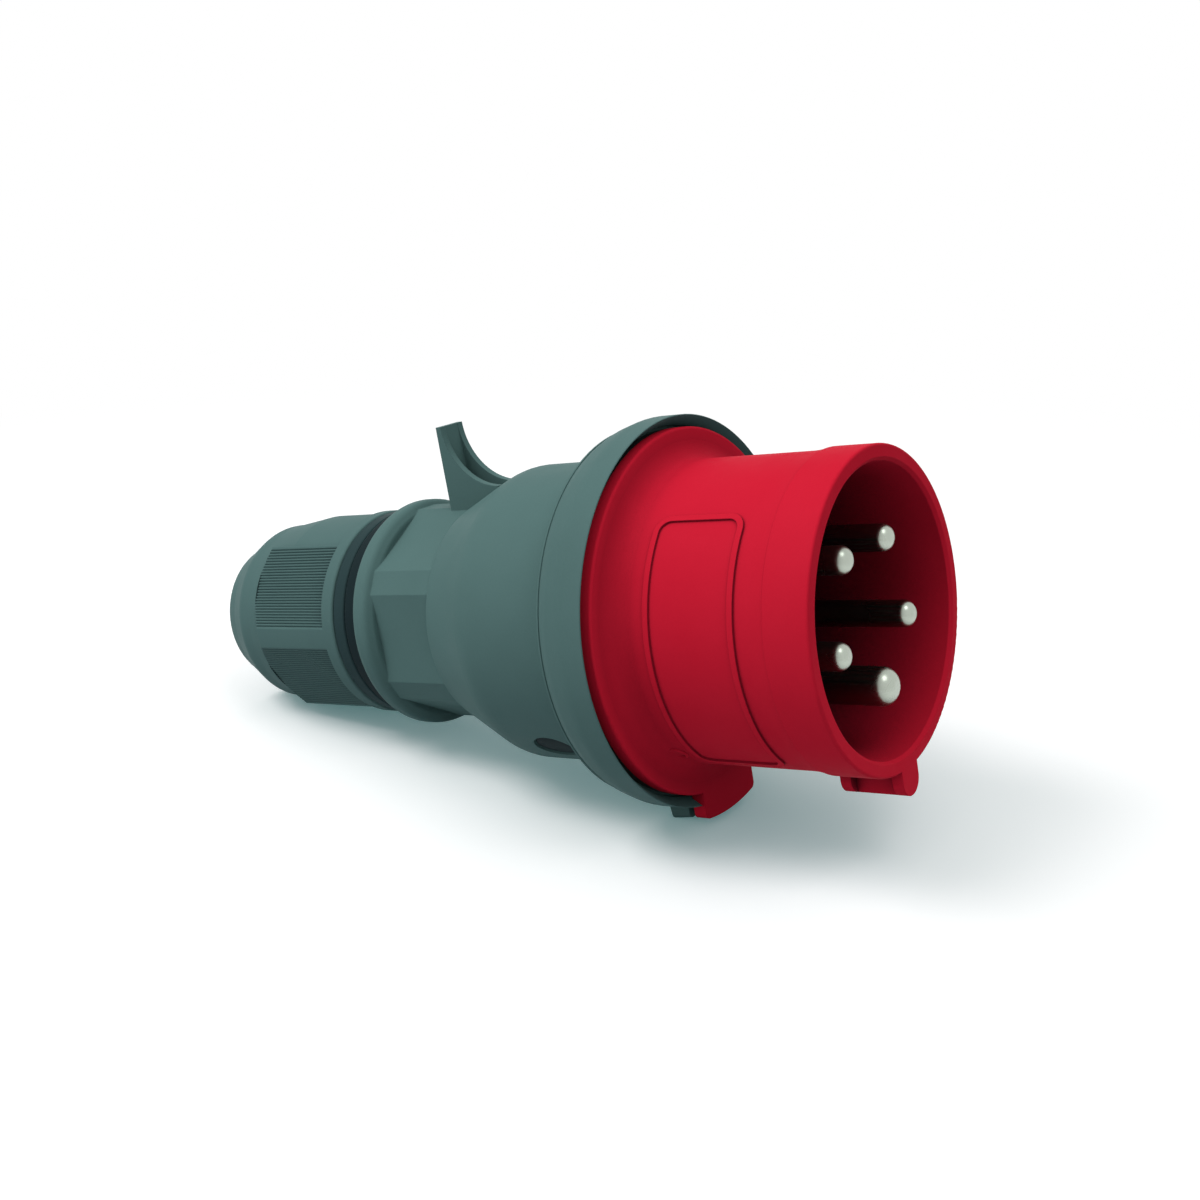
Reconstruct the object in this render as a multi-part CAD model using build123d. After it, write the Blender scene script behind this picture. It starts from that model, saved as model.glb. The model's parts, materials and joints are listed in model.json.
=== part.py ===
"""Industrial pin and sleeve plug, five poles, 16 A size, with two phases that swap on a turning disc.

Each sub-part is modelled along the plug's own axis: +X towards the contact pins, x = 0 at the mouth of
the red sleeve, +Z up through the hook and the key at the bottom. At the end all of them are laid down
together, as the plug rests on its foot and its gland nut, nose up, with Z vertical.
Lengths are in millimetres and angles in degrees. Angles about the axis run from the top towards -Y.
"""

import math
import os

from build123d import *

# Sleeve, flange, key and tab: one red moulding
sleeve_band_diameter = 57.0
sleeve_body_diameter = 55.9
sleeve_bore = 51.2
sleeve_depth = 37.5
floor_thickness = 3.1
band_length = 8.3
band_slope = 3.0
band_step = 0.12
band_blend = 16.0
sleeve_root_fillet = 3.6
mouth_chamfer = 0.6
flange_front = 38.0
flange_diameter = 68.0
flange_thickness = 2.6
flange_rounding = 0.5
tab_width = 17.5
tab_radius = 38.85
tab_corner = 1.2
tab_root = 4.0
key_width = 6.2
key_length = 12.2
key_radius = 33.4
key_wall = 2.1
key_web = 2.0
skirt_diameter = 52.6
skirt_wall = 2.0
skirt_end = 51.0
frame_start = 13.85
frame_end = 31.5
frame_top_angle = 39.5
frame_bottom_angle = 145.0
frame_ridge = 1.1
frame_height = 0.4
frame_corner = 3.2

# Bayonet between the red moulding and the housing
lug_count = 3
lug_angle = 9.0
lug_front = 45.6
lug_length = 3.0
lug_height = 1.3
twist_range = 20.0
lug_clearance = 0.3

# Grey housing
rim_bore_clearance = 0.45
rim_wall = 1.85
rim_front = 38.5
rim_straight = 5.0
rim_taper = 3.6
rim_back = 49.3
rim_crown_drop = 1.0
rim_back_drop = 1.95
rim_funnel = 2.8
rim_edge = 0.15
rim_lip_width = 0.4
rim_lip_height = 0.15
flange_seat = 42.5
barrel_diameter = 57.9
housing_wall = 2.25
barrel_end = 72.3
dome_end = 86.7
neck_corner_diameter = 44.9
neck_strip_angle = 12.6
neck_sides = 6
neck_overlap = 3.0
neck_end = 101.4
neck_bore = 32.4
collar_diameter = 47.1
collar_round = 1.7
collar_length = 4.9
hook_back = 92.0
hook_height = 38.8
hook_width = 6.6
hook_tip = 1.3
hook_web = 1.4
hook_toe = 78.6
hook_root = 3.0
foot_drop = 38.7
foot_rise = 0.4
foot_width = 16.6
foot_front = 42.1
foot_back = 46.0
foot_slant = 1.0
foot_root = 3.0
foot_rounding = 1.0
notch_gap = 0.15
notch_clearance = 1.6
badge_x = 61.7
badge_angle = 136.5
badge_length = 9.0
badge_width = 8.0
badge_depth = 0.5

# Contacts
pitch_diameter = 27.14
pole_count = 5
phase_pin_diameter = 5.0
earth_pin_diameter = 7.0
phase_pin_reach = 1.7
earth_pin_reach = 0.4
pin_fit = 0.05
pin_collar_lip = 0.6
pin_collar_length = 1.6
pin_shoulder_lip = 0.4
pin_shoulder_stand = 0.2
terminal_diameter = 7.8
earth_terminal_diameter = 9.4
terminal_stand = 1.5
wire_hole = 4.4
wire_hole_depth = 11.0
terminal_screw_diameter = 3.9
tip_rounding = 0.8
pin_edge = 0.4
screw_reach = 0.6
screw_stand = 0.1
screw_fit = 0.15
terminal_screw_setback = 3.0
screw_slot_width = 0.8
screw_slot_depth = 0.9

# Terminal block
block_diameter = 47.4
block_length = 19.3
block_gap = 0.1
block_screw_diameter = 3.0
block_screw_head = 5.6
block_screw_radius = 19.4
block_screw_angle = 36.0
block_screw_head_height = 2.2
block_screw_sink = 3.2
block_screw_bite = 2.3

# Turning disc with two phases
disc_diameter = 23.0
disc_fit = 0.08
disc_gap = 0.05
disc_lip = 1.0
disc_lip_thickness = 2.0
disc_press = 1.5
disc_slot_length = 7.0
disc_slot_width = 1.3
disc_slot_depth = 1.6
disc_stem_diameter = 3.6
washer_thickness = 0.6
washer_diameter = 6.6
spring_wire = 0.7
spring_turns = 6
bridge_thickness = 2.0
bridge_gap = 1.0
bridge_width = 6.0
bridge_rounding = 1.5
bridge_screw_spacing = 33.0
bridge_screw_diameter = 2.4
bridge_screw_head = 4.4
bridge_screw_head_height = 1.6
bridge_screw_bite = 5.0
spring_seat_gap = 0.05

# Seal behind the flange
flange_seal_bore = 54.2
flange_seal_diameter = 67.8
seal_gap = 0.1

# Cable gland
sleeve_flange_diameter = 43.0
sleeve_flange_length = 3.75
gland_thread_diameter = 34.8
gland_tail_length = 16.95
gland_bore = 25.6
spigot_length = 14.3
spigot_fit = 0.1
ring_section = 1.5
ring_clearance = 0.05
ring_groove_setback = 1.5
nut_ring_gap = 0.3
nut_ring_length = 3.0
nut_ring_diameter = 42.8
nut_ring_bore = 35.4
basket_gap = 0.2
basket_base_length = 3.0
basket_length = 15.4
basket_front_diameter = 32.6
basket_end_diameter = 26.4
basket_wall = 1.5
finger_count = 10
finger_gap = 1.4
cable_seal_overlap = 7.0
cable_seal_recess = 1.6
cable_seal_diameter = 25.0
cable_seal_end_diameter = 21.6
cable_seal_bore = 13.0
cable_seal_lead = 1.5
slip_ring_thickness = 1.1
slip_ring_diameter = 27.0
slip_ring_bore = 19.6
gland_gap = 0.3

# Gland nut, with its lengths measured from its front edge
nut_gap = 0.2
nut_band_diameter = 43.2
nut_band_length = 3.05
nut_diameter = 42.0
nut_straight_length = 17.65
nut_chamfer_reach = 28.05
nut_shoulder_reach = 31.05
nut_shoulder_diameter = 38.7
nut_lip_reach = 35.65
nut_lip_diameter = 34.0
nut_length = 39.95
nut_end_diameter = 30.0
nut_thread_clearance = 0.3
nut_bore = 19.0
nut_mouth_flare = 3.5
grip_angles = (60.0, 120.0, 240.0, 300.0)
grip_across_flats = 39.3
grip_ramp_angle = 51.5
grip_edge = 0.25
grip_chamfer_reach = 23.35
grip_reach = 25.5
grip_back_diameter = 39.6
groove_pitch = 0.62
groove_width = 0.42
groove_depth = 0.22


def turned(points, cut_radii=()):
    """Solid of revolution about X from (x, radius) points; cut_radii holds (point index, radius) corners."""
    outline = make_face(Plane.XZ * Polyline(*points, close=True))
    for index, radius in cut_radii:
        x, along_z = points[index]
        vertex = outline.vertices().sort_by_distance((x, 0, along_z))[0]
        outline = fillet(vertex, radius)
    return revolve(outline, Axis.X)


def tube(start, end, outer, inner=0.0):
    """Round bar or tube along X between two x values, given diameters."""
    section = Circle(outer / 2)
    if inner > 0:
        section -= Circle(inner / 2)
    return extrude(Plane.YZ.offset(start) * section, end - start)


def around(angle, radius):
    """(y, z) of a point at an angle from the top towards -Y."""
    return (-radius * math.sin(math.radians(angle)), radius * math.cos(math.radians(angle)))


def turn(shape, angle):
    """Turn a shape about the plug's axis by an angle from the top towards -Y."""
    return Rot(angle, 0, 0) * shape


def sector(start, end, inner, outer, middle, half):
    """Ring sector about X between two x values, radii and half angle, centred on an angle."""
    steps = [middle - half + half * share for share in (0, 1, 2)]
    first, centre, last = steps
    edges = Line(around(first, inner), around(first, outer))
    edges += ThreePointArc(around(first, outer), around(centre, outer), around(last, outer))
    edges += Line(around(last, outer), around(last, inner))
    edges += ThreePointArc(around(last, inner), around(centre, inner), around(first, inner))
    return extrude(Plane.YZ.offset(start) * make_face(edges), end - start)


floor_back = sleeve_depth + floor_thickness
flange_back = flange_front + flange_thickness
rim_bore = flange_diameter + 2 * rim_bore_clearance
rim_diameter = rim_bore + 2 * rim_wall
rim_back_diameter = rim_diameter - 2 * rim_back_drop
barrel_bore = barrel_diameter - 2 * housing_wall
collar_end = neck_end + collar_length
spigot_front = collar_end - spigot_length
ring_groove_back = collar_end - ring_groove_setback
sleeve_flange_end = collar_end + sleeve_flange_length
gland_thread_end = sleeve_flange_end + gland_tail_length
basket_front = gland_thread_end + basket_gap
basket_end = basket_front + basket_length
cable_seal_front = gland_thread_end - cable_seal_overlap
cable_seal_end = basket_end - cable_seal_recess
nut_ring_front = sleeve_flange_end + nut_ring_gap
nut_ring_end = nut_ring_front + nut_ring_length
nut_front = nut_ring_end + nut_gap
nut_straight_end = nut_front + nut_straight_length
nut_chamfer_end = nut_front + nut_chamfer_reach
nut_shoulder = nut_front + nut_shoulder_reach
nut_lip = nut_front + nut_lip_reach
nut_end = nut_front + nut_length
grip_front = nut_front + nut_band_length
grip_chamfer = nut_front + grip_chamfer_reach
grip_back = nut_front + grip_reach
block_end = floor_back + block_gap + block_length
terminal_end = block_end + terminal_stand
terminal_screw_x = block_end - terminal_screw_setback
pole_step = 360.0 / pole_count
key_angle = 180.0
earth_angle = key_angle
neutral_angle = earth_angle + pole_step
outer_phase_angle = earth_angle - pole_step
disc_radius_at = pitch_diameter / 2 * math.cos(math.radians(pole_step / 2))
disc_pin_offset = pitch_diameter / 2 * math.sin(math.radians(pole_step / 2))
disc_chamber = disc_diameter + 2 * disc_lip + 2 * lug_clearance
disc_seat = floor_back + disc_gap + disc_lip_thickness
washer_back = disc_seat + disc_gap + washer_thickness
bridge_front = terminal_end + disc_press + bridge_gap
stem_end = bridge_front + bridge_thickness
block_screw_angles = (key_angle - block_screw_angle, key_angle + block_screw_angle)
UPRIGHT = (Align.CENTER, Align.CENTER, Align.MIN)

# Angle, pin size, reach and terminal size of the three contacts that stay put
fixed_contacts = {
    "earth_pin": (earth_angle, earth_pin_diameter, earth_pin_reach, earth_terminal_diameter),
    "neutral_pin": (neutral_angle, phase_pin_diameter, phase_pin_reach, terminal_diameter),
    "outer_phase_pin": (outer_phase_angle, phase_pin_diameter, phase_pin_reach, terminal_diameter),
}


def on_disc(shape):
    """Move a shape from the plug's axis to the turning disc's axis."""
    return Pos(0, 0, disc_radius_at) * shape


def key_block():
    """Polarising key at six o'clock, rounded below and hollowed from both sides down to a web."""
    root = sleeve_bore / 2 + 1.0
    bar = Pos(-key_length / 2, 0, -(root + key_radius) / 2) * Box(key_length, key_width, key_radius - root)
    bottom = bar.edges().filter_by(Axis.X).sort_by(Axis.Z)[:2]
    bar = fillet(bottom, 0.48 * key_width)
    pocket_length = key_length - 2 * key_wall
    pocket_top = sleeve_band_diameter / 2 + 0.3
    pocket_bottom = key_radius + 1.0
    pocket_depth = (key_width - key_web) / 2
    for side in (-1, 1):
        middle = side * (key_width - pocket_depth) / 2
        pocket = Pos(-key_length / 2, middle + side * 0.5, -(pocket_top + pocket_bottom) / 2)
        bar -= pocket * Box(pocket_length, pocket_depth + 1.0, pocket_bottom - pocket_top)
    return bar


def tab_plate():
    """Thumb tab on the flange at six o'clock, in one plane with it and just as wide as the foot behind."""
    half = tab_width / 2
    reach = math.sqrt(tab_radius**2 - half**2)
    inner = flange_diameter / 2 - tab_root
    edges = Polyline((-half, -reach), (-half, -inner), (half, -inner), (half, -reach))
    edges += ThreePointArc((half, -reach), (0, -tab_radius), (-half, -reach))
    face = make_face(edges)
    face = fillet(face.vertices().sort_by(Axis.Y)[:2], tab_corner)
    return extrude(Plane.YZ.offset(-flange_back) * face, flange_thickness)


def label_frame():
    """Raised rounded frame round the bare label field, wrapped on the sleeve's near side."""
    radius = sleeve_body_diameter / 2
    middle = (frame_top_angle + frame_bottom_angle) / 2
    half = (frame_bottom_angle - frame_top_angle) / 2

    def window(inset, corner):
        turn_inset = math.degrees(inset / radius)
        block = sector(
            -frame_end + inset,
            -frame_start - inset,
            radius - 1.0,
            radius + frame_height,
            middle,
            half - turn_inset,
        )
        ends = [edge for edge in block.edges() if edge.geom_type == GeomType.LINE]
        across = [edge for edge in ends if abs(edge.tangent_at(0.5).X) < 0.5]
        return fillet(across, corner)

    return window(0.0, frame_corner) - window(frame_ridge, frame_corner - frame_ridge)


def make_contact_carrier():
    """Red moulding: sleeve, flange, tab, key, floor with its bores, and a skirt with bayonet lugs."""
    band = sleeve_band_diameter / 2
    body = sleeve_body_diameter / 2
    flange = flange_diameter / 2
    skirt = skirt_diameter / 2
    bore = sleeve_bore / 2
    points = [
        (0, bore + mouth_chamfer),
        (0, band),
        (-band_length, band),
        (-band_length, band - band_step),
        (-band_length - band_slope, body),
        (-flange_front, body),
        (-flange_front, flange),
        (-flange_back, flange),
        (-flange_back, skirt),
        (-skirt_end, skirt),
        (-skirt_end, skirt - skirt_wall),
        (-floor_back, skirt - skirt_wall),
        (-floor_back, 0),
        (-sleeve_depth, 0),
        (-sleeve_depth, bore),
        (-mouth_chamfer, bore),
    ]
    rounded = [(1, 0.5), (4, band_blend), (5, sleeve_root_fillet), (6, flange_rounding)]
    carrier = turned(points, rounded)
    carrier += tab_plate()
    carrier += key_block()
    carrier += label_frame()
    for number in range(lug_count):
        angle = number * 360.0 / lug_count
        start = -lug_front - lug_length
        carrier += sector(start, -lug_front, skirt - 1.0, skirt + lug_height, angle, lug_angle)
    for angle, size, reach, terminal_size in fixed_contacts.values():
        pin_hole = tube(-floor_back - 1, -sleeve_depth + 1, shoulder_size(size) + 2 * pin_fit)
        carrier -= at_pole(pin_hole, angle)
    disc_hole = tube(-floor_back - 1, -sleeve_depth + 1, disc_diameter + 2 * disc_fit)
    carrier -= on_disc(disc_hole)
    for angle in block_screw_angles:
        bottom = -floor_back + block_screw_bite + screw_fit
        pilot = tube(-floor_back - 1, bottom, block_screw_diameter + 2 * pin_fit)
        carrier -= turn(Pos(0, 0, block_screw_radius) * pilot, angle)
    return carrier


def hook_shape():
    """Catch hook at twelve o'clock: a back plate and two webs whose front edges sweep down to the dome."""
    low = neck_corner_diameter / 2 - hook_root
    toe_height = 26.3
    back = -hook_back
    tip = (back + hook_tip, hook_height)
    toe = (-hook_toe, toe_height)
    middle = ((tip[0] + toe[0]) / 2 - 2.4, (tip[1] + toe[1]) / 2 - 2.5)
    edges = Polyline(tip, (back, hook_height), (back, low), (-hook_toe, low), toe)
    edges += ThreePointArc(toe, middle, tip)
    outline = make_face(Plane.XZ * edges)
    hook = extrude(outline, hook_width / 2, both=True)
    plate = hook_tip
    floor = neck_corner_diameter / 2 - 0.4
    pocket_edges = Polyline(
        (back + plate - 0.1, hook_height + 1),
        (back + plate + 0.6, floor),
        (-hook_toe + 1, floor),
        (-hook_toe + 1, hook_height + 1),
        close=True,
    )
    pocket = extrude(make_face(Plane.XZ * pocket_edges), hook_width / 2 - hook_web, both=True)
    return hook - pocket


def neck_prism():
    """Six wide wrench flats with a narrow strip at each corner."""
    corners = []
    for side in range(neck_sides):
        middle = side * 360.0 / neck_sides
        corners.append(around(middle - neck_strip_angle / 2, neck_corner_diameter / 2))
        corners.append(around(middle + neck_strip_angle / 2, neck_corner_diameter / 2))
    face = make_face(Polyline(*corners, close=True))
    return extrude(Plane.YZ.offset(-neck_end - 1) * face, neck_end + 1 - dome_end + neck_overlap)


def housing_outside():
    """Outer form: stepped rim, barrel, sloping dome, hexagonal neck and rounded collar."""
    rim = rim_diameter / 2
    rim_end = rim_back_diameter / 2
    barrel = barrel_diameter / 2
    corner = neck_corner_diameter / 2
    flat = corner * math.cos(math.radians(180.0 / neck_sides - neck_strip_angle / 2))
    collar = collar_diameter / 2
    rim_step = -rim_front - rim_straight
    rim_shoulder = rim_step - rim_taper
    front = turned(
        [
            (-rim_front - rim_funnel, 0),
            (-rim_front - rim_funnel, rim_bore / 2),
            (-rim_front, rim - rim_edge),
            (-rim_front - rim_edge, rim),
            (rim_step, rim),
            (rim_shoulder, rim - rim_crown_drop),
            (-rim_back + rim_lip_width, rim_end),
            (-rim_back + rim_lip_width, rim_end + rim_lip_height),
            (-rim_back, rim_end + rim_lip_height),
            (-rim_back - 0.2, barrel),
            (-barrel_end, barrel),
            (-dome_end, corner),
            (-dome_end, 0),
        ],
        [(4, 6.0), (5, 5.0), (9, 1.2), (10, 9.0), (11, 1.0)],
    )
    collar_start = -neck_end
    rear = turned(
        [
            (-dome_end + 1, 0),
            (-dome_end + 1, flat - 1.0),
            (collar_start, flat - 1.0),
            (collar_start, corner - 0.7),
            (collar_start - 1.2, collar),
            (-collar_end, collar),
            (-collar_end, 0),
        ],
        [(3, 1.0), (4, collar_round), (5, collar_round)],
    )
    return front + rear + neck_prism()


def housing_inside():
    """Inner form to cut away: flange recess, barrel, sloping end and neck bore."""
    wall_step = 2.0
    return turned(
        [
            (-rim_front + 1, 0),
            (-rim_front + 1, rim_bore / 2),
            (-flange_seat, rim_bore / 2),
            (-flange_seat, barrel_bore / 2),
            (-barrel_end + wall_step, barrel_bore / 2),
            (-dome_end + wall_step, neck_bore / 2),
            (-collar_end - 1, neck_bore / 2),
            (-collar_end - 1, 0),
        ],
        [(4, 6.0)],
    )


def bayonet_grooves():
    """Grooves that take the lugs: an entry slot from the flange seat and a run for the locking turn."""
    clear_angle = 0.8
    outer = skirt_diameter / 2 + lug_height + lug_clearance
    inner = barrel_bore / 2 - 1.0
    groove_back = -lug_front - lug_length - lug_clearance
    groove_front = -lug_front + lug_clearance
    grooves = []
    for number in range(lug_count):
        rest = number * 360.0 / lug_count
        half_run = lug_angle + clear_angle + twist_range / 2
        middle = rest + twist_range / 2
        grooves.append(sector(groove_back, groove_front, inner, outer, middle, half_run))
        entry = rest + twist_range
        half_entry = lug_angle + clear_angle
        grooves.append(sector(groove_back, -flange_seat + 1, inner, outer, entry, half_entry))
    return grooves


def foot_block():
    """Foot under the rim, as wide as the tab in front of it; the plug rests on its rear edge."""
    top = rim_back_diameter / 2 - foot_root
    corners = [
        (-foot_front, -top),
        (-foot_front, -foot_drop + foot_rise),
        (-foot_back, -foot_drop),
        (-foot_back - foot_slant, -top),
    ]
    side = make_face(Plane.XZ * Polyline(*corners, close=True))
    foot = extrude(side, foot_width / 2, both=True)
    below = foot.faces().sort_by(Axis.Z)[0]
    lengthwise = [edge for edge in below.edges() if abs(edge.tangent_at(0.5).Y) < 0.5]
    return fillet(lengthwise, foot_rounding)


def tab_notch():
    """Gap in the rim that just takes the tab at rest and lets it sweep away as the sleeve is turned out."""
    half = math.degrees(math.asin(tab_width / 2 / (flange_diameter / 2))) + notch_clearance
    start = -flange_back - seal_gap
    inner = flange_diameter / 2 - 2
    outer = rim_diameter / 2 + 2
    sweep = (twist_range + half) / 2
    notch = sector(start, -rim_front + 2, inner, outer, key_angle + sweep, sweep)
    rest = Box(-rim_front + 2 - start, tab_width + 2 * notch_gap, outer - inner)
    return notch + Pos((start - rim_front + 2) / 2, 0, -(inner + outer) / 2) * rest


def badge_recess():
    """Shallow oval field, bare, sunk into the barrel's near side just behind the rim."""
    floor = barrel_diameter / 2 - badge_depth
    oval = extrude(Plane.XY.offset(floor - 1) * Ellipse(badge_length / 2, badge_width / 2), badge_depth + 2)
    oval = Pos(-badge_x, 0, 0) * oval
    return turn(oval - tube(-badge_x - badge_length, -badge_x + badge_length, 2 * floor), badge_angle)


def make_housing():
    """Grey housing: one hollow moulding with rim, foot, hook, hexagonal neck and collar."""
    housing = hook_shape() + housing_outside() + foot_block()
    housing -= housing_inside()
    for groove in bayonet_grooves():
        housing -= groove
    housing -= tab_notch()
    housing -= badge_recess()
    return housing


def shoulder_size(size):
    """Diameter of a pin's shoulder, which fills its hole in the floor or in the turning disc."""
    return size + 2 * pin_shoulder_lip


def terminal_bar(reach, size, seat, terminal_size):
    """Contact pin on the plug's axis: rounded tip, shoulder, stop collar at its seat, drilled barrel."""
    radius = size / 2
    shoulder = shoulder_size(size) / 2
    shoulder_front = -sleeve_depth + pin_shoulder_stand
    collar = terminal_size / 2 + pin_collar_lip
    terminal = terminal_size / 2
    pin = turned(
        [
            (-reach, 0),
            (-reach, radius),
            (shoulder_front, radius),
            (shoulder_front, shoulder),
            (-seat, shoulder),
            (-seat, collar),
            (-seat - pin_collar_length, collar),
            (-seat - pin_collar_length, terminal),
            (-terminal_end, terminal),
            (-terminal_end, 0),
        ],
        [(1, radius * tip_rounding), (8, pin_edge)],
    )
    pin -= tube(-terminal_end - 1, -terminal_end + wire_hole_depth, wire_hole)
    screw_hole = Cylinder(terminal_screw_diameter / 2, terminal_size, align=UPRIGHT)
    return pin - Pos(-terminal_screw_x, 0, 0) * screw_hole


def terminal_screw(terminal_size):
    """Slotted grub screw that clamps a conductor, standing upright on the plug's axis."""
    foot = wire_hole / 2 - screw_reach
    length = terminal_size / 2 - foot + screw_stand
    screw = Cylinder(terminal_screw_diameter / 2 - pin_fit, length, align=UPRIGHT)
    screw -= Pos(0, 0, length) * Box(terminal_size, screw_slot_width, 2 * screw_slot_depth)
    return Pos(-terminal_screw_x, 0, foot) * screw


def at_pole(shape, angle):
    """Move a shape from the plug's axis to a pole on the pitch circle."""
    return turn(Pos(0, 0, pitch_diameter / 2) * shape, angle)


def make_terminal_block():
    """Insulating block behind the floor: bores for the fixed contacts and a chamber for the disc."""
    front = -floor_back - block_gap
    behind = -block_end - 1
    block = tube(-block_end, front, block_diameter)
    collar_back = -floor_back - pin_collar_length - block_gap
    for angle, size, reach, terminal_size in fixed_contacts.values():
        block -= at_pole(tube(behind, front + 1, terminal_size + 2 * pin_fit), angle)
        collar = terminal_size + 2 * pin_collar_lip + 2 * pin_fit
        block -= at_pole(tube(collar_back, front + 1, collar), angle)
        screw_way = Cylinder(terminal_screw_diameter / 2 + pin_fit, block_diameter, align=UPRIGHT)
        block -= at_pole(Pos(-terminal_screw_x, 0, 0) * screw_way, angle)
    block -= on_disc(tube(behind, front + 1, disc_chamber))
    window_width = 2 * disc_pin_offset + terminal_screw_diameter + 2 * lug_clearance
    window = Box(block_end + 2, window_width, block_diameter, align=(Align.MIN, Align.CENTER, Align.MIN))
    block -= on_disc(Pos(behind, 0, 0) * window)
    for angle in block_screw_angles:
        shank = tube(behind, front + 1, block_screw_diameter + 2 * screw_fit)
        head = tube(behind, -block_end + block_screw_sink, block_screw_head + 2 * screw_fit)
        block -= turn(Pos(0, 0, block_screw_radius) * (shank + head), angle)
    for side in (-1, 1):
        bottom = -block_end + bridge_screw_bite + screw_fit
        pilot = tube(behind, bottom, bridge_screw_diameter + 2 * pin_fit)
        block -= on_disc(Pos(0, side * bridge_screw_spacing / 2, 0) * pilot)
    return block


def slotted_screw(head_back, diameter, length, head_diameter, head_height):
    """Cheese-head screw along X: head towards the rear, shank towards the pins."""
    seat = head_back + head_height
    screw = tube(head_back, seat, head_diameter) + tube(seat, seat + length, diameter)
    return screw - Pos(head_back, 0, 0) * Box(2 * screw_slot_depth, head_diameter + 1, screw_slot_width)


def make_block_screws():
    """Two screws that hold the terminal block to the floor."""
    head = -block_end + block_screw_sink - block_screw_head_height
    length = block_end - block_screw_sink - floor_back + block_screw_bite
    screw = slotted_screw(head, block_screw_diameter, length, block_screw_head, block_screw_head_height)
    places = [turn(Pos(0, 0, block_screw_radius) * screw, angle) for angle in block_screw_angles]
    return Compound(places)


def make_inverter_disc():
    """Turning disc: face flush with the floor, lip behind it, screwdriver slot and guide stem."""
    lip_front = -floor_back - disc_gap
    disc = tube(lip_front - 0.1, -sleeve_depth, disc_diameter)
    disc += tube(-disc_seat, lip_front, disc_diameter + 2 * disc_lip)
    disc += tube(-stem_end, -disc_seat, disc_stem_diameter)
    bore = tube(-disc_seat - 1, 0, shoulder_size(phase_pin_diameter) + 2 * pin_fit)
    for side in (-1, 1):
        disc -= Pos(0, side * disc_pin_offset, 0) * bore
    disc -= Pos(-sleeve_depth, 0, 0) * Box(2 * disc_slot_depth, disc_slot_width, disc_slot_length)
    return on_disc(disc)


def make_swapping_pin(side):
    """One of the two phase contacts that the disc carries."""
    pin = terminal_bar(phase_pin_reach, phase_pin_diameter, disc_seat, terminal_diameter)
    return on_disc(Pos(0, side * disc_pin_offset, 0) * pin)


def make_disc_screws():
    """Clamping screws of the two contacts on the disc."""
    screw = terminal_screw(terminal_diameter)
    return Compound([on_disc(Pos(0, side * disc_pin_offset, 0) * screw) for side in (-1, 1)])


def make_terminal_screws():
    """Clamping screws of the three fixed contacts."""
    return Compound([at_pole(terminal_screw(size[3]), size[0]) for size in fixed_contacts.values()])


def make_thrust_washer():
    """Washer between the disc and its spring, which slides back with the disc but doesn't turn."""
    bore = disc_stem_diameter + 2 * disc_fit
    return on_disc(tube(-washer_back, -disc_seat - disc_gap, washer_diameter, bore))


def make_disc_spring():
    """Compression spring round the stem that presses the disc forward."""
    length = bridge_front - washer_back - spring_wire - 2 * spring_seat_gap
    coil_radius = disc_stem_diameter / 2 + disc_fit + spring_wire
    coil = Helix(length / spring_turns, length, coil_radius)
    wire = Plane(origin=coil @ 0, z_dir=coil % 0) * Circle(spring_wire / 2)
    spring = sweep(wire, path=coil)
    return on_disc(Pos(-bridge_front + spring_seat_gap + spring_wire / 2, 0, 0) * Rot(0, 90, 0) * spring)


def make_disc_bridge():
    """Bridge screwed across the chamber: it seats the spring and guides the end of the stem."""
    span = bridge_screw_spacing + bridge_width
    back = bridge_front + bridge_thickness
    opening = disc_chamber + 2 * lug_clearance
    leg = bridge_front - block_end
    bar = Pos(-(block_end + back) / 2, 0, 0) * Box(back - block_end, span, bridge_width)
    bar -= Pos(-(block_end + bridge_front) / 2, 0, 0) * Box(leg, opening, bridge_width + 1)
    for end in (0, -1):
        bar = fillet(bar.edges().filter_by(Axis.X).group_by(Axis.Y)[end], bridge_rounding)
    bar -= tube(-back - 1, -block_end, disc_stem_diameter + 2 * disc_fit)
    hole = tube(-back - 1, 0, bridge_screw_diameter + 2 * screw_fit)
    for side in (-1, 1):
        bar -= Pos(0, side * bridge_screw_spacing / 2, 0) * hole
    return on_disc(bar)


def make_bridge_screws():
    """Two screws through the bridge's feet into the block."""
    head = -bridge_front - bridge_thickness - bridge_screw_head_height
    length = bridge_front + bridge_thickness - block_end + bridge_screw_bite
    screw = slotted_screw(head, bridge_screw_diameter, length, bridge_screw_head, bridge_screw_head_height)
    half = bridge_screw_spacing / 2
    return Compound([on_disc(Pos(0, side * half, 0) * screw) for side in (-1, 1)])


def make_flange_seal():
    """Flat rubber ring between the red flange and its seat in the housing."""
    return tube(-flange_seat + seal_gap, -flange_back, flange_seal_diameter, flange_seal_bore)


def make_gland_sleeve():
    """Dark gland body: spigot in the neck, visible flange behind the collar, threaded tail."""
    spigot = neck_bore / 2 - spigot_fit
    flange = sleeve_flange_diameter / 2
    tail = gland_thread_diameter / 2
    bore = gland_bore / 2
    points = [
        (-spigot_front, bore),
        (-spigot_front, spigot),
        (-collar_end, spigot),
        (-collar_end, flange),
        (-sleeve_flange_end, flange),
        (-sleeve_flange_end, tail),
        (-gland_thread_end, tail),
        (-gland_thread_end, bore),
    ]
    body = turned(points, [(1, 0.6), (3, 0.4), (4, 0.4), (6, 1.0)])
    groove_bottom = neck_bore - 2 * (ring_section + 2 * ring_clearance)
    groove_front = -ring_groove_back + ring_section + 4 * ring_clearance
    return body - tube(-ring_groove_back, groove_front, neck_bore + 1, groove_bottom)


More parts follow.
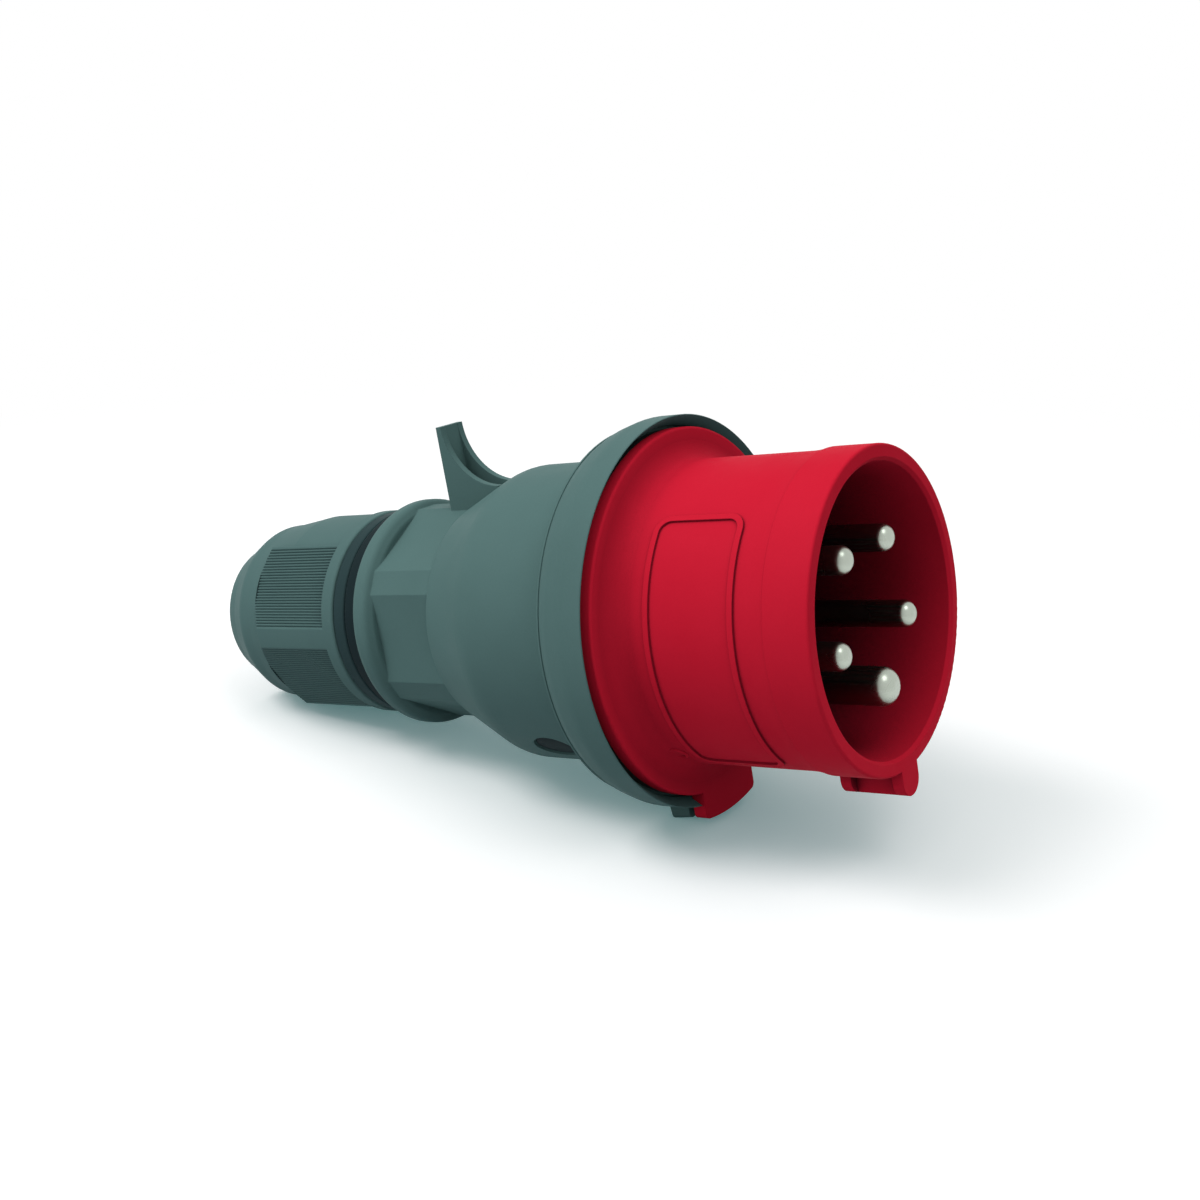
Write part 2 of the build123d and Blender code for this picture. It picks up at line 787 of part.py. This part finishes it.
def make_spigot_ring():
    """O-ring in the groove of the spigot."""
    radius = neck_bore / 2 - ring_section / 2 - ring_clearance
    x = -ring_groove_back + ring_section / 2 + 2 * ring_clearance
    return Pos(x, 0, 0) * Rot(0, 90, 0) * Torus(radius, ring_section / 2)


def make_nut_ring():
    """Dark ring on the thread between the gland body's flange and the nut."""
    outer = nut_ring_diameter / 2
    bore = nut_ring_bore / 2
    front = -nut_ring_front
    back = -nut_ring_end
    return turned([(front, bore), (front, outer), (back, outer), (back, bore)], [(1, 0.4), (2, 0.3)])


def make_clamping_basket():
    """Ring with springy fingers that the nut's cone bends inwards round the cable seal."""
    front = basket_front_diameter / 2
    end = basket_end_diameter / 2
    base_end = basket_front + basket_base_length
    shell = turned(
        [
            (-basket_front, front - basket_wall),
            (-basket_front, front),
            (-base_end, front),
            (-basket_end, end),
            (-basket_end, end - basket_wall),
            (-base_end, front - basket_wall),
        ]
    )
    length = basket_end - base_end
    slot = Pos(-base_end - length / 2 - 0.5, 0, front / 2) * Box(length + 1, finger_gap, front)
    for number in range(finger_count):
        shell -= turn(slot, number * 360.0 / finger_count)
    return shell


def make_cable_seal():
    """Rubber sleeve that grips the cable inside the basket."""
    outer = cable_seal_diameter / 2
    end = cable_seal_end_diameter / 2
    bore = cable_seal_bore / 2
    points = [
        (-cable_seal_front, bore + cable_seal_lead),
        (-cable_seal_front, outer),
        (-basket_front - basket_base_length, outer),
        (-cable_seal_end, end),
        (-cable_seal_end, bore + cable_seal_lead / 2),
        (-cable_seal_end + cable_seal_lead / 2, bore),
        (-cable_seal_front - cable_seal_lead, bore),
    ]
    return turned(points)


def make_slip_ring():
    """Washer that the nut pushes against the fingers, so that they don't twist as it turns."""
    return tube(-nut_shoulder, -nut_shoulder + slip_ring_thickness, slip_ring_diameter, slip_ring_bore)


def raised_grip(angle):
    """Ground for two grip flats and the land between them, raised to the band, chamfered at the rear."""
    band = nut_band_diameter / 2
    middles = [grip for grip in grip_angles if abs(grip - angle) < 90.0]
    flat_span = math.acos(grip_across_flats / nut_band_diameter) + grip_edge / band
    half = (max(middles) - min(middles)) / 2 + math.degrees(flat_span)
    ground = sector(-grip_back, -grip_front + 0.5, gland_thread_diameter / 2 + 1.0, band + 1.0, angle, half)
    envelope = turned(
        [
            (-grip_front + 1.0, 0),
            (-grip_front + 1.0, band),
            (-grip_chamfer, band),
            (-grip_back, grip_back_diameter / 2),
            (-grip_back, 0),
        ]
    )
    return ground & envelope


def grip_cutter():
    """Cutter for one grip flat at twelve o'clock: a plane with fine lengthwise grooves and a front ramp."""
    band = nut_band_diameter / 2
    flat = grip_across_flats / 2
    half = math.sqrt(band**2 - flat**2)
    count = int(2 * half / groove_pitch)
    first = -(count * groove_pitch - groove_pitch + groove_width) / 2
    corners = [(half + 1.0, band + 1.0), (-half - 1.0, band + 1.0), (-half - 1.0, flat)]
    for number in range(count):
        start = first + number * groove_pitch
        corners.append((start, flat))
        corners.append((start + groove_width / 2, flat - groove_depth))
        corners.append((start + groove_width, flat))
    corners.append((half + 1.0, flat))
    face = make_face(Polyline(*corners, close=True))
    cutter = extrude(Plane.YZ.offset(-grip_back) * face, grip_back - grip_front)
    ramp_foot = flat - 2 * groove_depth
    ramp_length = (band - ramp_foot) / math.tan(math.radians(grip_ramp_angle))
    ramp = [
        (-grip_front, 0),
        (-grip_front, band),
        (-grip_front - ramp_length, ramp_foot),
        (-grip_front - ramp_length, 0),
    ]
    return cutter - turned(ramp)


def make_gland_nut():
    """Clamping nut: smooth front band, four grooved grip flats, domed rear end and flared mouth."""
    band = nut_band_diameter / 2
    body = nut_diameter / 2
    thread = gland_thread_diameter / 2 + nut_thread_clearance
    cone_front = basket_front_diameter / 2 + gland_gap + 0.1
    cone_end = basket_end_diameter / 2 + gland_gap + 0.1
    cone_start = basket_front + basket_base_length
    bore = nut_bore / 2
    points = [
        (-nut_front, thread),
        (-nut_front, band),
        (-grip_front, band),
        (-grip_front - 0.6, body),
        (-nut_straight_end, body),
        (-nut_chamfer_end, nut_shoulder_diameter / 2 + 0.15),
        (-nut_shoulder, nut_shoulder_diameter / 2),
        (-nut_lip, nut_lip_diameter / 2),
        (-nut_lip - 0.3, nut_lip_diameter / 2 - 0.4),
        (-nut_end, nut_end_diameter / 2),
        (-nut_end, bore + nut_mouth_flare),
        (-nut_end + nut_mouth_flare, bore),
        (-nut_shoulder - 0.1, bore),
        (-nut_shoulder - 0.1, cone_end),
        (-basket_end, cone_end),
        (-cone_start, cone_front),
        (-gland_thread_end - 1.0, thread),
    ]
    nut = turned(points, [(1, 0.5), (5, 6.0), (6, 3.0), (9, 0.9), (10, 0.7), (11, 2.0)])
    for angle in (90.0, 270.0):
        nut += raised_grip(angle)
    cutter = grip_cutter()
    for angle in grip_angles:
        nut -= turn(cutter, angle)
    return nut


def resting_tilt():
    """Nose-up angle at which the foot's rear edge and the nut's underside touch one plane."""
    corners = [(nut_straight_end, nut_diameter / 2), (nut_shoulder, nut_shoulder_diameter / 2)]
    slopes = [(foot_drop - radius) / (x - foot_back) for x, radius in corners]
    return math.degrees(math.atan(min(slopes)))


parts = {
    "housing": make_housing(),
    "contact_carrier": make_contact_carrier(),
    "flange_seal": make_flange_seal(),
    "terminal_block": make_terminal_block(),
    "terminal_screws": make_terminal_screws(),
    "block_screws": make_block_screws(),
    "inverter_disc": make_inverter_disc(),
    "left_swapping_pin": make_swapping_pin(-1),
    "right_swapping_pin": make_swapping_pin(1),
    "disc_terminal_screws": make_disc_screws(),
    "thrust_washer": make_thrust_washer(),
    "disc_spring": make_disc_spring(),
    "disc_bridge": make_disc_bridge(),
    "bridge_screws": make_bridge_screws(),
    "gland_sleeve": make_gland_sleeve(),
    "spigot_o_ring": make_spigot_ring(),
    "nut_seal_ring": make_nut_ring(),
    "clamping_basket": make_clamping_basket(),
    "cable_seal": make_cable_seal(),
    "slip_ring": make_slip_ring(),
    "gland_nut": make_gland_nut(),
}
for name, (angle, size, reach, terminal_size) in fixed_contacts.items():
    parts[name] = at_pole(terminal_bar(reach, size, floor_back, terminal_size), angle)

# Lay the plug down: nose up by the resting tilt, then over the middle of its own outline on the ground
lying = Rot(0, -resting_tilt(), 0)
outline = Compound([lying * solid for part in parts.values() for solid in part.solids()])
box = outline.bounding_box()
placed = Pos(-(box.min.X + box.max.X) / 2, 0, -box.min.Z) * lying

os.makedirs("parts", exist_ok=True)
for name, shape in parts.items():
    export_step(placed * shape, f"parts/{name}.step")
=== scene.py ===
"""Dressed scene of the industrial pin and sleeve plug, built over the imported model.

Lengths in the plug's own axes are in millimetres: +X towards the contact pins with x = 0 at the sleeve's
mouth, +Z up through the hook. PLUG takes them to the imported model, which is in metres.
"""

import json
import math

import bmesh
import bpy
from mathutils import Matrix, Vector


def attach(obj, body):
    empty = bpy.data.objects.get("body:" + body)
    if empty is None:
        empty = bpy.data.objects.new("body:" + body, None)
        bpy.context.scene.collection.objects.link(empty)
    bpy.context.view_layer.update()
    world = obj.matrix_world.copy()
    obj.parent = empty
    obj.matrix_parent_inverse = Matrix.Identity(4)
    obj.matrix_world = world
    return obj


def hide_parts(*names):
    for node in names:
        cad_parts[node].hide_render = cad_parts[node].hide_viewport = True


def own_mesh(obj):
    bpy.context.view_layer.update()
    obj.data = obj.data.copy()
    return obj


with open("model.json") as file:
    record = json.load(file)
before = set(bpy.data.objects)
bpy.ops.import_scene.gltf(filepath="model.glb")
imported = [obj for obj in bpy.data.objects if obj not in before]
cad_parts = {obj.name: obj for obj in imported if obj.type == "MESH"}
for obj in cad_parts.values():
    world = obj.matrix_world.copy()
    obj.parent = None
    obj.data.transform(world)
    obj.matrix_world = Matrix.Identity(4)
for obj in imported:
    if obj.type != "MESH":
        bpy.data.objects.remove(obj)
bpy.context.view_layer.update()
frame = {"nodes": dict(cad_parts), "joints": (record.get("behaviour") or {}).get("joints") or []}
nodes = frame["nodes"]
joints = {joint["name"]: joint for joint in frame["joints"]}

# The plug's own axes, read from the twist joint, whose point lies 45 mm behind the mouth
MM = 0.001
TWIST_X = -45.0
along = Vector(joints["carrier_twist"]["axis"]).normalized()
across = Vector((0.0, 1.0, 0.0))
upward = along.cross(across).normalized()
mouth = Vector(joints["carrier_twist"]["pos_m"]) - along * (TWIST_X * MM)
tilt = Matrix((along, across, upward)).transposed().to_4x4()
PLUG = Matrix.Translation(mouth) @ tilt @ Matrix.Scale(MM, 4)


def turned_point(x, angle, radius):
    """Point in the plug's axes from x, an angle from the top towards -Y in degrees, and a radius."""
    turn = math.radians(angle)
    return Vector((x, -radius * math.sin(turn), radius * math.cos(turn)))


def add_piece(name, mesh, body, material):
    """Link a mesh given in the plug's axes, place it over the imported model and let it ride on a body."""
    mesh.transform(PLUG)
    piece = bpy.data.objects.new(name, mesh)
    bpy.context.scene.collection.objects.link(piece)
    mesh.materials.append(material)
    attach(piece, body)


def grid_mesh(name, rows, closed_rows=False, closed_columns=False):
    """Smooth mesh of quads over rows of points, closed from the last row or column to the first if asked."""
    mesh = bpy.data.meshes.new(name)
    build = bmesh.new()
    made = [[build.verts.new(point) for point in row] for row in rows]
    row_count = len(made)
    column_count = len(made[0])
    for i in range(row_count if closed_rows else row_count - 1):
        next_i = (i + 1) % row_count
        for j in range(column_count if closed_columns else column_count - 1):
            next_j = (j + 1) % column_count
            build.faces.new((made[i][j], made[next_i][j], made[next_i][next_j], made[i][next_j]))
    bmesh.ops.recalc_face_normals(build, faces=build.faces)
    build.to_mesh(mesh)
    build.free()
    for face in mesh.polygons:
        face.use_smooth = True
    return mesh


class Nodes:
    """Short hand for building the node tree of a material or a world."""

    # Sockets of the mix node: its share, then its two colours or its two plain values
    SHARE = 0
    COLOURS = (6, 7)
    VALUES = (2, 3)
    COLOUR_RESULT = 2
    VALUE_RESULT = 0

    def __init__(self, owner, output, place):
        owner.use_nodes = True
        self.owner = owner
        self.tree = owner.node_tree
        self.tree.nodes.clear()
        self.output = self.add(output)
        self.place = self.add("ShaderNodeTexCoord").outputs[place]

    def add(self, kind, inputs=None, **settings):
        """New node, with its settings, and each input linked to a socket or set to a value."""
        node = self.tree.nodes.new(kind)
        for key, value in settings.items():
            setattr(node, key, value)
        for key, value in (inputs or {}).items():
            if isinstance(value, bpy.types.NodeSocket):
                self.tree.links.new(value, node.inputs[key])
            else:
                node.inputs[key].default_value = value
        return node

    def noise(self, scale, detail=3.0, roughness=0.55):
        """Noise with a scale per metre."""
        inputs = {"Vector": self.place, "Scale": scale, "Detail": detail, "Roughness": roughness}
        return self.add("ShaderNodeTexNoise", inputs).outputs["Fac"]

    def span(self, value, low, high, to_low, to_high):
        """Value mapped from one span to another, and held at its ends."""
        inputs = {"Value": value, "From Min": low, "From Max": high, "To Min": to_low, "To Max": to_high}
        return self.add("ShaderNodeMapRange", inputs).outputs["Result"]

    def mix(self, share, first, second):
        """Colour that goes from the first to the second by a share."""
        inputs = {self.SHARE: share, self.COLOURS[0]: first, self.COLOURS[1]: second}
        return self.add("ShaderNodeMix", inputs, data_type="RGBA").outputs[self.COLOUR_RESULT]

    def mix_values(self, share, first, second):
        """Plain value that goes from the first to the second by a share."""
        inputs = {self.SHARE: share, self.VALUES[0]: first, self.VALUES[1]: second}
        return self.add("ShaderNodeMix", inputs).outputs[self.VALUE_RESULT]

    def larger(self, first, second):
        """The larger of two values."""
        return self.add("ShaderNodeMath", {0: first, 1: second}, operation="MAXIMUM").outputs[0]

    def openness(self, reach, own_piece):
        """1 in the open, down to 0 where its own piece, or any piece, closes in within a reach in metres."""
        inputs = {"Distance": reach}
        return self.add("ShaderNodeAmbientOcclusion", inputs, samples=8, only_local=own_piece).outputs["AO"]

    def seen(self):
        """1 where the camera, a reflection or a see-through surface looks, and 0 for bounced light."""
        path = self.add("ShaderNodeLightPath")
        direct = self.larger(path.outputs["Is Camera Ray"], path.outputs["Is Glossy Ray"])
        return self.larger(direct, path.outputs["Is Transmission Ray"])

    def finish(self, shader):
        """Lead a shader to the output and give back what the tree belongs to."""
        self.tree.links.new(shader.outputs[0], self.output.inputs[0])
        return self.owner


def material_nodes(name):
    """Empty node tree of a new material."""
    return Nodes(bpy.data.materials.new(name), "ShaderNodeOutputMaterial", "Object")


def linear(red, green, blue):
    """Scene colour of a screen colour given in parts of 255."""

    def one(value):
        value /= 255
        return value / 12.92 if value <= 0.04045 else ((value + 0.055) / 1.055) ** 2.4

    return (one(red), one(green), one(blue), 1.0)


def scaled(colour, factor, added=0.0):
    """Colour times a factor, and a little added."""
    return tuple(min(1.0, factor * part + added) for part in colour[:3]) + (1.0,)


# Reach of the painted shade in shut-in places, and the rounding of sharp edges, in metres
CREVICE_REACH = 0.008
CAVITY_REACH = 0.07
ENCLOSED_SHADE_REACH = 0.05
EDGE_ROUNDING = 0.00025

# Tone of the painted shade in shut-in plastic: a share of its shade colour, and a cool trace
SHADE_SHARE = 0.04
SHADE_TRACE = (0.002, 0.003, 0.007)


def painted_hollow_shade(n, tone, shade, crevice_shade, cavity_shade):
    """Painted shade: tone going towards a dark one in narrow crevices and deep cavities, by the given shares.
    """
    painted_shade_tone = tuple(SHADE_SHARE * part + trace for part, trace in zip(shade, SHADE_TRACE)) + (1.0,)
    if crevice_shade:
        near = n.openness(CREVICE_REACH, own_piece=True)
        tone = n.mix(n.span(near, 0.4, 0.9, crevice_shade, 0.0), tone, painted_shade_tone)
    if cavity_shade:
        far = n.openness(CAVITY_REACH, own_piece=True)
        tone = n.mix(n.span(far, 0.24, 0.45, cavity_shade, 0.0), tone, painted_shade_tone)
    return tone


def plastic(
    name,
    colour,
    shade,
    roughness,
    grain_depth=0.00001,
    gloss=0.5,
    crevice_shade=0.0,
    cavity_shade=0.0,
    bounce=None,
):
    """Moulded plastic with a sparked grain, faint flow marks and sharp edges a little lighter.

    The flow marks are about 26 mm apart, the specks 0.4 mm and the grain 0.6 mm. Crevices and cavities get
    painted shade, darker by their shares, and bounced light sees the bounce colour, if one is given.
    """
    n = material_nodes(name)
    flow = n.noise(38.0, detail=4.0, roughness=0.6)
    tone = n.mix(n.span(flow, 0.3, 0.7, 0.0, 1.0), colour, shade)
    speck = n.noise(2600.0, detail=2.0, roughness=0.5)
    pore = scaled(shade, 0.72)
    tone = n.mix(n.span(speck, 0.35, 0.75, 0.0, 0.10), tone, pore)
    # Sharp convex edges a little lighter
    edge = n.add("ShaderNodeNewGeometry").outputs["Pointiness"]
    lighter_edge_tone = scaled(colour, 1.35, added=0.01)
    tone = n.mix(n.span(edge, 0.52, 0.60, 0.0, 0.06), tone, lighter_edge_tone)
    # Painted shade in crevices and cavities
    tone = painted_hollow_shade(n, tone, shade, crevice_shade, cavity_shade)
    if bounce:
        tone = n.mix(n.add("ShaderNodeLightPath").outputs["Is Diffuse Ray"], tone, bounce)
    dull = n.span(n.noise(140.0), 0.3, 0.7, roughness - 0.05, roughness + 0.05)
    rounded = n.add("ShaderNodeBevel", {"Radius": EDGE_ROUNDING}, samples=4).outputs["Normal"]
    grain = n.noise(1700.0, detail=2.0, roughness=0.6)
    relief = {"Strength": 0.35, "Distance": grain_depth, "Height": grain, "Normal": rounded}
    bump = n.add("ShaderNodeBump", relief).outputs["Normal"]
    shader = n.add("ShaderNodeBsdfPrincipled", {"Base Color": tone, "Roughness": dull, "Normal": bump})
    shader.inputs["Specular IOR Level"].default_value = gloss
    return n.finish(shader)


def metal(name, colour, roughness, cavity_shade=0.0):
    """Plated metal with faint clouds and an uneven sheen, and painted shade by a share where it stands
    enclosed.
    """
    n = material_nodes(name)
    cloud = n.noise(60.0, detail=2.0, roughness=0.5)
    clouded = scaled(colour, 0.9)
    tone = n.mix(n.span(cloud, 0.35, 0.7, 0.0, 1.0), colour, clouded)
    if cavity_shade:
        # Painted shade where other pieces close in round the metal
        around = n.openness(ENCLOSED_SHADE_REACH, own_piece=False)
        painted_enclosed_shade = scaled(colour, 0.12)
        tone = n.mix(n.span(around, 0.45, 0.75, cavity_shade, 0.0), tone, painted_enclosed_shade)
    dull = n.span(n.noise(80.0, detail=2.0), 0.3, 0.7, roughness - 0.02, roughness + 0.03)
    shader = n.add("ShaderNodeBsdfPrincipled", {"Base Color": tone, "Roughness": dull})
    shader.inputs["Metallic"].default_value = 1.0
    return n.finish(shader)


# The crevice and cavity shares paint shade into shut-in places
grey = plastic("grey_plastic", linear(89, 119, 117), linear(85, 114, 112), 0.48, gloss=0.02, crevice_shade=0.12)
nut_grey = plastic("nut_plastic", linear(87, 116, 114), linear(83, 111, 110), 0.50, gloss=0.02, crevice_shade=0.7)
dark = plastic("dark_plastic", linear(48, 68, 70), linear(44, 63, 65), 0.45, gloss=0.02)
gland_dark = plastic("gland_plastic", linear(32, 46, 49), linear(28, 41, 44), 0.42, gloss=0.02)
red = plastic(
    "red_plastic",
    linear(210, 32, 55),
    linear(205, 28, 51),
    0.52,
    gloss=0.01,
    crevice_shade=0.7,
    cavity_shade=0.92,
    bounce=(0.30, 0.27, 0.29, 1.0),
)
black = plastic("block_plastic", linear(38, 38, 41), linear(32, 32, 35), 0.45)
disc_black = plastic("disc_plastic", linear(30, 30, 33), linear(25, 25, 28), 0.38)
rubber = plastic("seal_rubber", linear(30, 31, 33), linear(24, 25, 27), 0.72, grain_depth=0.00002)
nickel = metal("nickel_plate", (0.47, 0.52, 0.45, 1.0), 0.27, cavity_shade=0.65)
zinc = metal("zinc_steel", (0.62, 0.63, 0.66, 1.0), 0.34)
steel = metal("spring_steel", (0.55, 0.56, 0.58, 1.0), 0.30)

finishes = {
    grey: ["housing"],
    nut_grey: ["gland_nut"],
    dark: ["nut_seal_ring", "clamping_basket", "slip_ring"],
    gland_dark: ["gland_sleeve"],
    red: ["contact_carrier"],
    black: ["terminal_block", "disc_bridge"],
    disc_black: ["inverter_disc"],
    rubber: ["flange_seal", "spigot_o_ring", "cable_seal"],
    nickel: ["earth_pin", "neutral_pin", "outer_phase_pin", "left_swapping_pin", "right_swapping_pin"],
    zinc: ["terminal_screws", "disc_terminal_screws", "block_screws", "bridge_screws", "thrust_washer"],
    steel: ["disc_spring"],
}
for material, names in finishes.items():
    for name in names:
        node = nodes[name]
        node.data.materials.clear()
        node.data.materials.append(material)


def thread_ridge():
    """Ridge of the gland thread, wound round the tail of the gland body between the dark ring and its end."""
    start = -114.0
    end = -126.4
    pitch = 1.5
    root = 17.35
    crest = 17.62
    root_half = 0.55
    crest_half = 0.12
    steps = 64
    count = int((start - end) / pitch * steps)
    rows = []
    for step in range(count + 1):
        angle = 360.0 * step / steps
        x = start - pitch * step / steps
        # The ridge grows over the first turn and fades over the last
        share = min(1.0, step / steps, (count - step) / steps)
        top = root + (crest - root) * share
        profile = [(root_half, root), (crest_half, top), (-crest_half, top), (-root_half, root)]
        rows.append([turned_point(x + ahead, angle, radius) for ahead, radius in profile])
    return grid_mesh("gland_thread_ridge", rows)


def badge():
    """Bare dark oval sheet that paints the shade of the shallow badge field on the barrel's near side, just
    below the barrel's skin.
    """
    centre_x = -61.7
    centre_angle = 136.5
    half_x = 4.35
    half_angle = 7.6
    radius = 28.45
    steps = 48
    # Share of the oval's size and height over the radius, from its edge to its middle
    rings = [(1.0, -0.02), (0.97, 0.10), (0.90, 0.14), (0.4, 0.14), (0.02, 0.14)]
    rows = []
    for share, height in rings:
        row = []
        for step in range(steps):
            turn = 2 * math.pi * step / steps
            x = centre_x + half_x * share * math.cos(turn)
            angle = centre_angle + half_angle * share * math.sin(turn)
            row.append(turned_point(x, angle, radius + height))
        rows.append(row)
    return grid_mesh("badge_shade_sheet", rows, closed_columns=True)


def ring_mark():
    """Small raised ring mark on the sleeve below the label frame."""
    centre_x = -35.0
    centre_angle = 138.2
    radius = 28.0
    ring_radius = 1.7
    wire_radius = 0.35
    steps = 32
    wire_steps = 8
    rows = []
    for step in range(steps):
        turn = 2 * math.pi * step / steps
        row = []
        for part in range(wire_steps):
            roll = 2 * math.pi * part / wire_steps
            reach = ring_radius + wire_radius * math.cos(roll)
            x = centre_x + reach * math.cos(turn)
            angle = centre_angle + math.degrees(reach / radius) * math.sin(turn)
            row.append(turned_point(x, angle, radius + wire_radius * math.sin(roll)))
        rows.append(row)
    return grid_mesh("sleeve_ring_mark", rows, closed_rows=True, closed_columns=True)


def pressed_spring():
    """Spring of the turning disc, as a copy with its own mesh that rides on the contact insert in place of
    the hidden original.
    """
    spring = bpy.data.objects.new("pressed_spring", nodes["disc_spring"].data.copy())
    bpy.context.scene.collection.objects.link(spring)
    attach(spring, "contact_insert")
    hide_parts("disc_spring")
    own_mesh(spring)


add_piece("gland_thread_ridge", thread_ridge(), "housing", gland_dark)
# The badge sheet is a dark oval of painted shade in the badge field
add_piece("badge_shade_sheet", badge(), "housing", gland_dark)
add_piece("sleeve_ring_mark", ring_mark(), "contact_insert", red)
pressed_spring()

# Colours of the studio, where 1 is white: the floor's two pale tones, its lift and the light that it bounces
WHITE = (1.0, 1.0, 1.0, 1.0)
FLOOR_LIGHT = (1.08, 1.00, 1.00, 1.0)
FLOOR_SHADE = (1.065, 0.985, 0.985, 1.0)
FLOOR_LIFT = (0.06, 0.15, 0.152, 1.0)
FLOOR_BOUNCE = (0.42, 0.45, 0.48, 1.0)

# Distance from the origin over which the floor fades to plain white, and half the floor's width, in metres
FADE_START = 0.14
FADE_END = 0.42
FLOOR_HALF = 30.0

# Strength of the world's light straight above and at the horizon
ZENITH = 0.75
HORIZON = 0.27


def floor_material():
    """Pale matt floor that fades to plain white away from the plug.

    A cool lift that bounced light doesn't see keeps the lit floor white and its shadow soft. As a source of
    bounced light the floor is dimmer.
    """
    n = material_nodes("floor")
    seen = n.seen()
    cloud = n.span(n.noise(6.0, detail=2.0), 0.3, 0.7, 0.0, 1.0)
    pale = n.mix(cloud, FLOOR_LIGHT, FLOOR_SHADE)
    matt = n.add("ShaderNodeBsdfDiffuse", {"Color": n.mix(seen, FLOOR_BOUNCE, pale)})
    lift = n.add("ShaderNodeEmission", {"Color": FLOOR_LIFT, "Strength": seen})
    near = n.add("ShaderNodeAddShader", {0: matt.outputs[0], 1: lift.outputs[0]})
    white = n.add("ShaderNodeEmission", {"Color": WHITE, "Strength": seen})
    distance = n.add("ShaderNodeVectorMath", {0: n.place}, operation="LENGTH").outputs["Value"]
    inputs = {"Value": distance, "From Min": FADE_START, "From Max": FADE_END}
    fade = n.add("ShaderNodeMapRange", inputs, interpolation_type="SMOOTHSTEP").outputs["Result"]
    return n.finish(n.add("ShaderNodeMixShader", {0: fade, 1: near.outputs[0], 2: white.outputs[0]}))


def add_floor():
    """Wide level floor under the plug."""
    corners = [(-1.0, -1.0), (1.0, -1.0), (1.0, 1.0), (-1.0, 1.0)]
    ground = bpy.data.meshes.new("ground")
    ground.from_pydata([(FLOOR_HALF * x, FLOOR_HALF * y, 0.0) for x, y in corners], [], [(0, 1, 2, 3)])
    ground.materials.append(floor_material())
    ground_object = bpy.data.objects.new("ground", ground)
    bpy.context.scene.collection.objects.link(ground_object)


def studio_world():
    """Soft light that falls off towards the horizon, seen as plain white by the camera and in reflections."""
    n = Nodes(bpy.data.worlds.new("studio"), "ShaderNodeOutputWorld", "Generated")
    height = n.add("ShaderNodeSeparateXYZ", {0: n.place}).outputs["Z"]
    glow = n.span(height, 0.0, 1.0, HORIZON, ZENITH)
    level = n.mix_values(n.seen(), glow, 1.0)
    return n.finish(n.add("ShaderNodeBackground", {"Color": WHITE, "Strength": level}))


def area_light(name, place, target, width, height, watts):
    """Soft rectangular lamp at a place, aimed at a target, both in metres."""
    lamp = bpy.data.lights.new(name, "AREA")
    lamp.shape = "RECTANGLE"
    lamp.size = width
    lamp.size_y = height
    lamp.energy = watts
    holder = bpy.data.objects.new(name, lamp)
    bpy.context.scene.collection.objects.link(holder)
    holder.location = place
    aim = Vector(target) - Vector(place)
    holder.rotation_mode = "QUATERNION"
    holder.rotation_quaternion = aim.to_track_quat("-Z", "Y")


add_floor()
bpy.context.scene.world = studio_world()
area_light("key", place=(-0.45, -0.50, 1.0), target=(0.0, 0.0, 0.04), width=0.5, height=0.5, watts=6.0)
area_light("front", place=(0.55, -0.15, 1.0), target=(0.0, 0.0, 0.04), width=0.5, height=0.5, watts=1.7)
area_light("side", place=(-0.65, -0.95, 0.22), target=(0.0, 0.0, 0.03), width=0.5, height=0.3, watts=1.0)

# The photograph's camera in the plug's axes: its place, and the directions right and down in the picture
VIEWPOINT = Vector((114.20, -225.28, 64.86))
PICTURE_RIGHT = Vector((0.80029, 0.57646, -0.16502))
PICTURE_DOWN = Vector((-0.00347, -0.27074, -0.96265))
SENSOR_MM = 36.0
LENS_MM = 45.24


def add_camera():
    """Camera at the photograph's viewpoint, fixed to the plug's own axes."""
    camera = bpy.data.cameras.new("camera")
    camera.sensor_width = SENSOR_MM
    camera.lens = LENS_MM
    camera.clip_start = 0.01
    camera.clip_end = 100.0
    viewer = bpy.data.objects.new("camera", camera)
    bpy.context.scene.collection.objects.link(viewer)
    turn = PLUG.to_3x3().normalized()
    right = (turn @ PICTURE_RIGHT).normalized()
    down = (turn @ PICTURE_DOWN).normalized()
    back = right.cross(-down).normalized()
    upright = back.cross(right).normalized()
    facing = Matrix((right, upright, back)).transposed().to_4x4()
    viewer.matrix_world = Matrix.Translation(PLUG @ VIEWPOINT) @ facing
    bpy.context.scene.camera = viewer


add_camera()
bpy.context.scene.view_settings.view_transform = "Standard"
